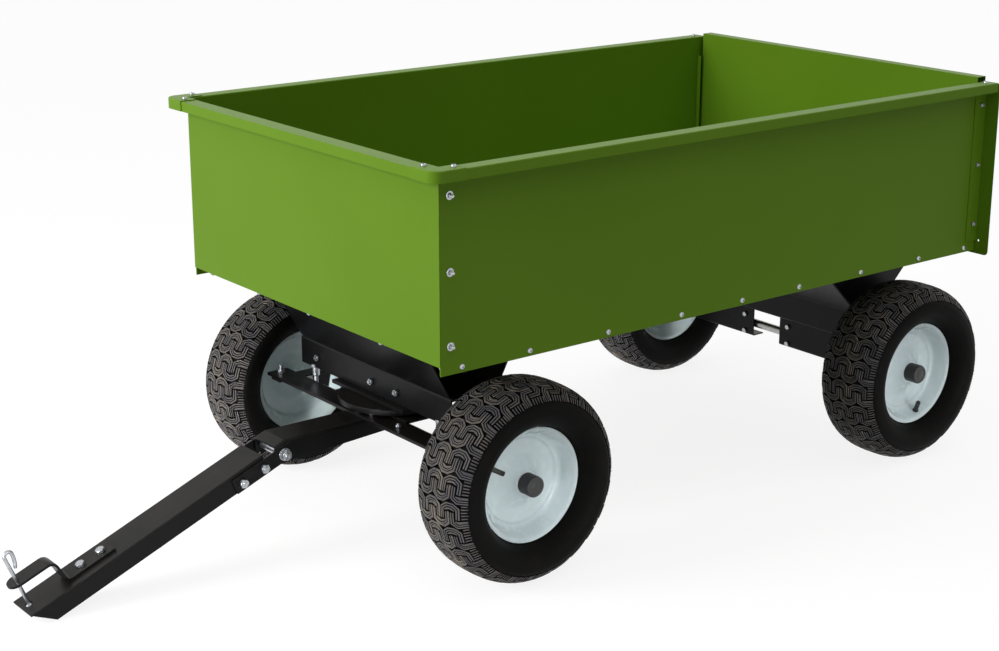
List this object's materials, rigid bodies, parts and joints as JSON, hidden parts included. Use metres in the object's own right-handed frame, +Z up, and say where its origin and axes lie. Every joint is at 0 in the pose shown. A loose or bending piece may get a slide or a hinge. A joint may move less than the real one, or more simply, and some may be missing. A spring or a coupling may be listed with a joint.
{
  "type": "garden tractor trailer",
  "caption": "Garden tractor trailer with a folded steel tray, lift-out tailgate, turntable front axle, and a hinged drawbar with a slotted hitch and drop-in pin.",
  "frame": {"origin": "on the ground under the centre of the bounding box", "axes": "+X forward along the drawbar, +Y to the left, +Z up"},
  "size_m": [2.215, 0.9828, 0.863],
  "materials": {
    "green_paint": "gloss",
    "black_paint": "gloss",
    "steel": "satin",
    "zinc": "zinc plated",
    "tyre": "matt",
    "rim_paint": "gloss",
    "plastic": "satin"
  },
  "bodies": {
    "tray": {"floor_panel": "green_paint", "front_panel": "green_paint", "left_side_panel": "green_paint", "right_side_panel": "green_paint", "front_left_corner_cap": "green_paint", "front_right_corner_cap": "green_paint", "rear_left_post": "green_paint", "rear_right_post": "green_paint", "rear_left_guide": "green_paint", "rear_right_guide": "green_paint", "front_hanger": "black_paint", "front_bolster": "black_paint", "turntable_upper_plate": "black_paint", "rear_hanger": "black_paint", "rear_hanger_plate_left": "black_paint", "rear_hanger_plate_right": "black_paint", "rear_axle_carrier_left": "black_paint", "rear_axle_carrier_right": "black_paint", "rear_axle": "steel"},
    "steering_frame": {"turntable_lower_plate": "black_paint", "turntable_disc": "black_paint", "kingpin": "steel", "front_cross_bar": "black_paint", "axle_arm_left": "black_paint", "axle_arm_right": "black_paint", "front_axle": "steel", "drawbar_root": "black_paint", "drawbar_root_bolt": "zinc", "pivot_bolt": "zinc", "pivot_bush": "zinc"},
    "drawbar": {"drawbar_tongue": "black_paint", "fork_plate_left": "black_paint", "fork_plate_right": "black_paint", "hitch_strap": "black_paint", "fork_bolt_front": "zinc", "fork_bolt_rear": "zinc", "strap_bolt_front": "zinc", "strap_bolt_rear": "zinc"},
    "hitch_pin": {"hitch_pin": "zinc"},
    "tailgate": {"tailgate": "green_paint"},
    "front_left_wheel": {"front_left_tyre": "tyre", "front_left_rim": "rim_paint", "front_left_bearing": "steel", "front_left_hub_cap": "plastic", "front_left_valve_stem": "plastic"},
    "front_right_wheel": {"front_right_tyre": "tyre", "front_right_rim": "rim_paint", "front_right_bearing": "steel", "front_right_hub_cap": "plastic", "front_right_valve_stem": "plastic"},
    "rear_left_wheel": {"rear_left_tyre": "tyre", "rear_left_rim": "rim_paint", "rear_left_bearing": "steel", "rear_left_hub_cap": "plastic", "rear_left_valve_stem": "plastic"},
    "rear_right_wheel": {"rear_right_tyre": "tyre", "rear_right_rim": "rim_paint", "rear_right_bearing": "steel", "rear_right_hub_cap": "plastic", "rear_right_valve_stem": "plastic"}
  },
  "joints": [
    {"name": "steering", "type": "hinge", "parent": "tray", "child": "steering_frame", "pos_m": [0.22012, 0, 0.3], "axis": [0, 0, 1], "range_deg": [-45, 45]},
    {"name": "drawbar_lift", "type": "hinge", "parent": "steering_frame", "child": "drawbar", "pos_m": [0.52312, 0, 0.2155], "axis": [0, -1, 0], "range_deg": [0, 80]},
    {"name": "hitch_pin_slide", "type": "slide", "parent": "drawbar", "child": "hitch_pin", "axis": [0.3692, 0, 0.9294], "range_m": [0, 0.09]},
    {"name": "tailgate_slide", "type": "slide", "parent": "tray", "child": "tailgate", "axis": [0, 0, 1], "range_m": [0, 0.32]},
    {"name": "front_left_wheel_spin", "type": "hinge", "parent": "steering_frame", "child": "front_left_wheel", "pos_m": [0.22012, 0.4064, 0.203], "axis": [0, 1, 0], "continuous": true},
    {"name": "front_right_wheel_spin", "type": "hinge", "parent": "steering_frame", "child": "front_right_wheel", "pos_m": [0.22012, -0.4064, 0.203], "axis": [0, 1, 0], "continuous": true},
    {"name": "rear_left_wheel_spin", "type": "hinge", "parent": "tray", "child": "rear_left_wheel", "pos_m": [-0.90448, 0.4064, 0.203], "axis": [0, 1, 0], "continuous": true},
    {"name": "rear_right_wheel_spin", "type": "hinge", "parent": "tray", "child": "rear_right_wheel", "pos_m": [-0.90448, -0.4064, 0.203], "axis": [0, 1, 0], "continuous": true}
  ]
}
